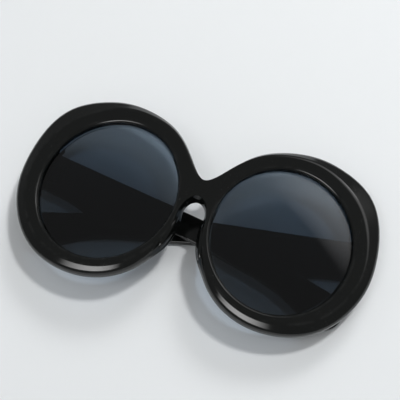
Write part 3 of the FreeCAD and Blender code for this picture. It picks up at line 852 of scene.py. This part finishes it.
def brushed_metal(name, colour, roughness, fineness):
    """Brushed metal: a grain in its colour and roughness, hairlines, and tarnish in clouds."""
    material, tree, shader, _ = new_material(name)
    grain = placed_group(tree, "brushed grain", grain_group, Fineness=fineness)
    hairs = placed_group(tree, "hairline scratches", hairline_group, Amount=0.8)
    tarnish = ramp_node(tree, noise_node(tree, object_place(tree), 420.0, 5.0), 0.5, 0.75)
    drawn = mixed_colour(tree, grain.outputs["Grain"], scaled(colour, 0.82), colour)
    stained = mixed_colour(tree, tarnish, drawn, scaled(colour, 0.6))
    tree.links.new(stained, shader.inputs["Base Color"])
    rough = math_node(tree, "MULTIPLY_ADD", grain.outputs["Grain"], 0.22, roughness)
    scuffed = math_node(tree, "MULTIPLY_ADD", hairs.outputs["Mask"], 0.15, rough)
    tree.links.new(scuffed, shader.inputs["Roughness"])
    shader.inputs["Metallic"].default_value = 1.0
    return material


def studio_floor(options):
    """A pale matt floor with a faint unevenness, clear from below, where open temples reach."""
    material, tree, shader, output = new_material("pale floor")
    cloud = noise_node(tree, object_place(tree), 9.0)
    colour = tuple(options.floor_colour)
    uneven = mixed_colour(tree, cloud, scaled(colour, 0.985), colour)
    tree.links.new(uneven, shader.inputs["Base Color"])
    shader.inputs["Roughness"].default_value = 0.6
    shader.inputs["Specular IOR Level"].default_value = 0.3
    face = tree.nodes.new("ShaderNodeNewGeometry")
    clear_where(tree, face.outputs["Backfacing"], (1.0, 1.0, 1.0), shader, output)
    return material


def add_floor(context, options):
    """A square floor under the object."""
    corners = FLOOR_HALF * np.array([[-1, -1, 0], [1, -1, 0], [1, 1, 0], [-1, 1, 0]], float)
    mesh = bpy.data.meshes.new("floor")
    mesh.from_pydata(corners, [], [(0, 1, 2, 3)])
    mesh.materials.append(studio_floor(options))
    floor = bpy.data.objects.new("floor", mesh)
    context.scene.collection.objects.link(floor)


def surroundings(options):
    """A pale surround that is mirrored less than it lights."""
    world = bpy.data.worlds.new("surroundings")
    world.use_nodes = True
    tree = world.node_tree
    rays = tree.nodes.new("ShaderNodeLightPath")
    glossy, passed = rays.outputs["Is Glossy Ray"], rays.outputs["Is Transmission Ray"]
    mirrored = math_node(tree, "MAXIMUM", glossy, passed)
    change = options.mirrored - options.surround
    strength = math_node(tree, "MULTIPLY_ADD", mirrored, change, options.surround)
    background = tree.nodes["Background"]
    background.inputs["Color"].default_value = SKY_COLOUR
    tree.links.new(strength, background.inputs["Strength"])
    return world


def lamp(context, name, direction, sizes, power):
    """A soft box of a width and a height, in a direction from the object and turned to it.

    Its light falls off from its middle to its edges as a parabola both ways, with the same power in all.
    """
    light = bpy.data.lights.new(name, "AREA")
    light.shape = "RECTANGLE"
    light.size, light.size_y = sizes
    light.energy = power
    light.use_nodes = True
    tree = light.node_tree
    place = tree.nodes.new("ShaderNodeNewGeometry")
    parts = tree.nodes.new("ShaderNodeSeparateXYZ")
    tree.links.new(place.outputs["Parametric"], parts.inputs["Vector"])
    falls = [
        math_node(tree, "MULTIPLY", part, math_node(tree, "SUBTRACT", 1.0, part))
        for part in (parts.outputs["X"], parts.outputs["Y"])
    ]
    strength = math_node(tree, "MULTIPLY", math_node(tree, "MULTIPLY", *falls), LAMP_GAIN)
    tree.links.new(strength, tree.nodes["Emission"].inputs["Strength"])
    item = bpy.data.objects.new(name, light)
    towards = Vector(direction).normalized()
    item.location = towards * LAMP_DISTANCE
    item.rotation_euler = towards.to_track_quat("Z", "Y").to_euler()
    context.scene.collection.objects.link(item)
    return item


def set_camera(context, options):
    """The camera, turned and raised about the front's own axes and aimed a little off the bridge."""
    turn, height = options.view_turn, options.view_height
    right = np.array([math.cos(turn), math.sin(turn), 0.0])
    flat = math.cos(height)
    back = np.array([math.sin(turn) * flat, -math.cos(turn) * flat, math.sin(height)])
    axes = LEAN_TURN @ np.stack([right, np.cross(back, right), back], axis=1)
    target = np.array([FRONT_BASE[0], FRONT_BASE[1], AIM_LEVEL]) * MM
    aim = target + axes[:, 0] * AIM_RIGHT * MM + axes[:, 1] * AIM_UP * MM
    place = np.eye(4)
    place[:3, :3] = axes
    place[:3, 3] = aim + axes[:, 2] * options.view_distance
    camera = bpy.data.cameras.new("camera")
    camera.angle = options.view_angle
    camera.clip_start = CAMERA_NEAR
    item = bpy.data.objects.new("camera", camera)
    item.matrix_world = Matrix(place.tolist())
    context.scene.collection.objects.link(item)
    context.scene.camera = item


def size_property(label, meaning, default):
    """A length property in metres, given in millimetres."""
    return FloatProperty(
        name=label, description=meaning, default=default * MM, min=0.0, unit="LENGTH", precision=5
    )


def share_property(label, meaning, default):
    """A property between 0 and 1."""
    return FloatProperty(
        name=label, description=meaning, default=default, min=0.0, max=1.0, subtype="FACTOR"
    )


def colour_property(label, meaning, default):
    """A colour property."""
    return FloatVectorProperty(
        name=label, description=meaning, default=default, min=0.0, max=1.0, subtype="COLOR"
    )


def angle_property(label, meaning, default):
    """An angle property, given in degrees."""
    return FloatProperty(name=label, description=meaning, default=math.radians(default), subtype="ANGLE")


def power_property(label, meaning, default):
    """A lamp's power property in watts."""
    return FloatProperty(name=label, description=meaning, default=default, min=0.0, unit="POWER")


def brightness_property(label, meaning, default):
    """A property of a brightness, where 1 is white."""
    return FloatProperty(name=label, description=meaning, default=default, min=0.0)


class SunglassesShape(bpy.types.PropertyGroup):
    """The roundings that finish the moulded pieces."""

    fold_width: size_property(
        "Fold Width", "Width of the smooth fold on each side of the middle plane", 8.0
    )
    lip_round: size_property("Lip Rounding", "Rounding of the lip round each lens", 0.6)
    edge_round: size_property("Edge Rounding", "Rounding of the outer edge of the bevel", 1.5)
    crease_round: size_property("Crease Rounding", "Rounding of the crease between ring and bevel", 0.8)
    temple_round: size_property("Temple Rounding", "Rounding of the long edges of the temples", 0.8)


class SunglassesFinish(bpy.types.PropertyGroup):
    """The colours and wear of the finishes."""

    acetate_colour: colour_property(
        "Acetate Colour", "Colour of the rims and temples", (0.004, 0.0045, 0.0041)
    )
    acetate_roughness: share_property("Acetate Roughness", "Roughness of the polished plastic", 0.09)
    lens_tint: colour_property(
        "Lens Tint", "Colour of the light that a lens lets through", (0.24, 0.305, 0.38)
    )
    edge_wear: share_property("Edge Wear", "Wear along the rounded edges", 0.25)
    dust: share_property("Dust", "Amount of dust specks", 0.3)


class SunglassesStage(bpy.types.PropertyGroup):
    """The floor, the lamps and the camera."""

    floor_colour: colour_property("Floor Colour", "Colour of the floor", (0.80, 0.82, 0.83))
    key_power: power_property("Key Power", "Power of the main lamp", 6.4)
    back_power: power_property("Back Power", "Power of the wide lamp behind the brow", 5.6)
    top_power: power_property("Top Power", "Power of the lamp above that opens the shadows", 2.2)
    fill_power: power_property("Fill Power", "Power of the low lamp that the lower bevels mirror", 6.0)
    glow_power: power_property("Glow Power", "Power of the wide dim lamp that a lens mirrors", 1.9)
    edge_power: power_property("Edge Power", "Power of the small lamp that the creases mirror", 0.32)
    surround: brightness_property("Surround", "Brightness of the surroundings", 0.36)
    mirrored: brightness_property("Mirrored", "Brightness of the mirrored surroundings", 0.19)
    view_turn: angle_property(
        "View Turn", "Turn of the camera about the front's normal, from straight below the bridge", 18.2
    )
    view_height: angle_property("View Height", "Angle of the camera above the plane of the front", 65.5)
    view_distance: size_property("View Distance", "Distance of the camera from the front", 400.0)
    view_angle: angle_property("View Angle", "Field of view of the camera", 22.8)


class SUNGLASSES_OT_front(bpy.types.Operator):
    """Build the front: both rims with their raised rings, the bridge, the nose pads and the end pieces"""

    bl_idname = "sunglasses.front"
    bl_label = "Build Front"

    def execute(self, context):
        options = context.scene.sunglasses_shape
        fold = options.fold_width / MM
        rim, rim_mask = rim_grid(options)
        bridge, bridge_mask = bridge_grid(options)
        rim_faces = grid_faces(*rim.shape[:2], wrap=True)
        bridge_faces = grid_faces(*bridge.shape[:2])
        grids = []
        for side in (1, -1):
            grids.append((seated(folded(rim, fold), side), rim_faces, rim_mask[None]))
            grids.append((seated(folded(bridge, fold), side), bridge_faces, bridge_mask[None]))
        front = piece_from_grids("front_acetate", grids)
        material = gloss_acetate(context.scene.sunglasses_finish)
        place_piece(front, "front", material, "acetate", "front_frame")
        pad = nose_pad_grid()
        pad_faces = grid_faces(*pad.shape[:2], wrap=True)
        for side, name in ((1, "left_nose_pad"), (-1, "right_nose_pad")):
            nose_pad = piece_from_grids(name, [(seated(pad, side), pad_faces, np.zeros((1, 1)))])
            place_piece(nose_pad, "front", material, "acetate", "front_frame")
        return {"FINISHED"}


class SUNGLASSES_OT_lenses(bpy.types.Operator):
    """Build the two domed lenses"""

    bl_idname = "sunglasses.lenses"
    bl_label = "Build Lenses"

    def execute(self, context):
        material = tinted_lens(context.scene.sunglasses_finish)
        points = lens_grid()
        faces = grid_faces(*points.shape[:2], wrap=True)
        for side, node in ((1, "left_lens"), (-1, "right_lens")):
            lens = piece_from_grids(f"{node}_tinted", [(seated(points, side), faces, np.zeros((1, 1)))])
            place_piece(lens, "front", material, "lens", node)
        return {"FINISHED"}


class SUNGLASSES_OT_temples(bpy.types.Operator):
    """Build the two temples, folded one over the other"""

    bl_idname = "sunglasses.temples"
    bl_label = "Build Temples"

    def execute(self, context):
        material = bpy.data.materials["gloss black acetate"]
        points, mask = temple_grid(context.scene.sunglasses_shape)
        faces = grid_faces(*points.shape[:2])
        for node, axis, side in (("left_temple", LEFT_AXIS, -1), ("right_temple", RIGHT_AXIS, 1)):
            base = axis - np.array([0, HINGE_LEVEL, 0])
            places = (points * np.array([side, 1, 1]) + base) * MM
            temple = piece_from_grids(f"{node}_acetate", [(places, faces, mask[None])])
            place_piece(temple, node, material, "acetate", node)
        return {"FINISHED"}


class SUNGLASSES_OT_metal(bpy.types.Operator):
    """Finish the hinges, the screws and the core wires of the CAD frame"""

    bl_idname = "sunglasses.metal"
    bl_label = "Finish Metal"

    def execute(self, context):
        finishes = {kind: brushed_metal(*finish) for kind, finish in METALS.items()}
        for name, node in frame["nodes"].items():
            kind = name.rsplit("_", 1)[-1]
            if kind in finishes:
                node.data.materials.clear()
                node.data.materials.append(finishes[kind])
        return {"FINISHED"}


class SUNGLASSES_OT_stage(bpy.types.Operator):
    """Set the floor, the soft studio light and the camera"""

    bl_idname = "sunglasses.stage"
    bl_label = "Set Stage"

    def execute(self, context):
        options = context.scene.sunglasses_stage
        add_floor(context, options)
        for name, (direction, sizes) in LIGHTING_LAMPS.items():
            item = lamp(context, name, direction, sizes, getattr(options, f"{name}_power"))
            item.visible_glossy = False
            item.visible_transmission = False
        for name, (direction, sizes) in MIRRORED_LAMPS.items():
            item = lamp(context, name, direction, sizes, getattr(options, f"{name}_power"))
            item.visible_diffuse = False
        context.scene.world = surroundings(options)
        context.scene.view_settings.view_transform = "Standard"
        set_camera(context, options)
        return {"FINISHED"}


class SUNGLASSES_PT_panel(bpy.types.Panel):
    """The sizes, finishes and build steps of the sunglasses"""

    bl_idname = "SUNGLASSES_PT_panel"
    bl_label = "Oversized Sunglasses"
    bl_space_type = "VIEW_3D"
    bl_region_type = "UI"
    bl_category = "Sunglasses"

    def draw(self, context):
        for place, group in GROUPS.items():
            box = self.layout.box()
            for name in group.__annotations__:
                box.prop(getattr(context.scene, place), name)
        for operator in OPERATORS:
            self.layout.operator(operator.bl_idname)


OPERATORS = (
    SUNGLASSES_OT_front,
    SUNGLASSES_OT_lenses,
    SUNGLASSES_OT_temples,
    SUNGLASSES_OT_metal,
    SUNGLASSES_OT_stage,
)
GROUPS = {
    "sunglasses_shape": SunglassesShape,
    "sunglasses_finish": SunglassesFinish,
    "sunglasses_stage": SunglassesStage,
}
CLASSES = (*GROUPS.values(), *OPERATORS, SUNGLASSES_PT_panel)


def register():
    for kind in CLASSES:
        bpy.utils.register_class(kind)
    for place, group in GROUPS.items():
        setattr(bpy.types.Scene, place, PointerProperty(type=group))


def unregister():
    for place in GROUPS:
        delattr(bpy.types.Scene, place)
    for kind in reversed(CLASSES):
        bpy.utils.unregister_class(kind)


def main():
    register()
    bpy.ops.sunglasses.front()
    bpy.ops.sunglasses.lenses()
    bpy.ops.sunglasses.temples()
    bpy.ops.sunglasses.metal()
    bpy.ops.sunglasses.stage()


if __name__ == "__main__":
    main()
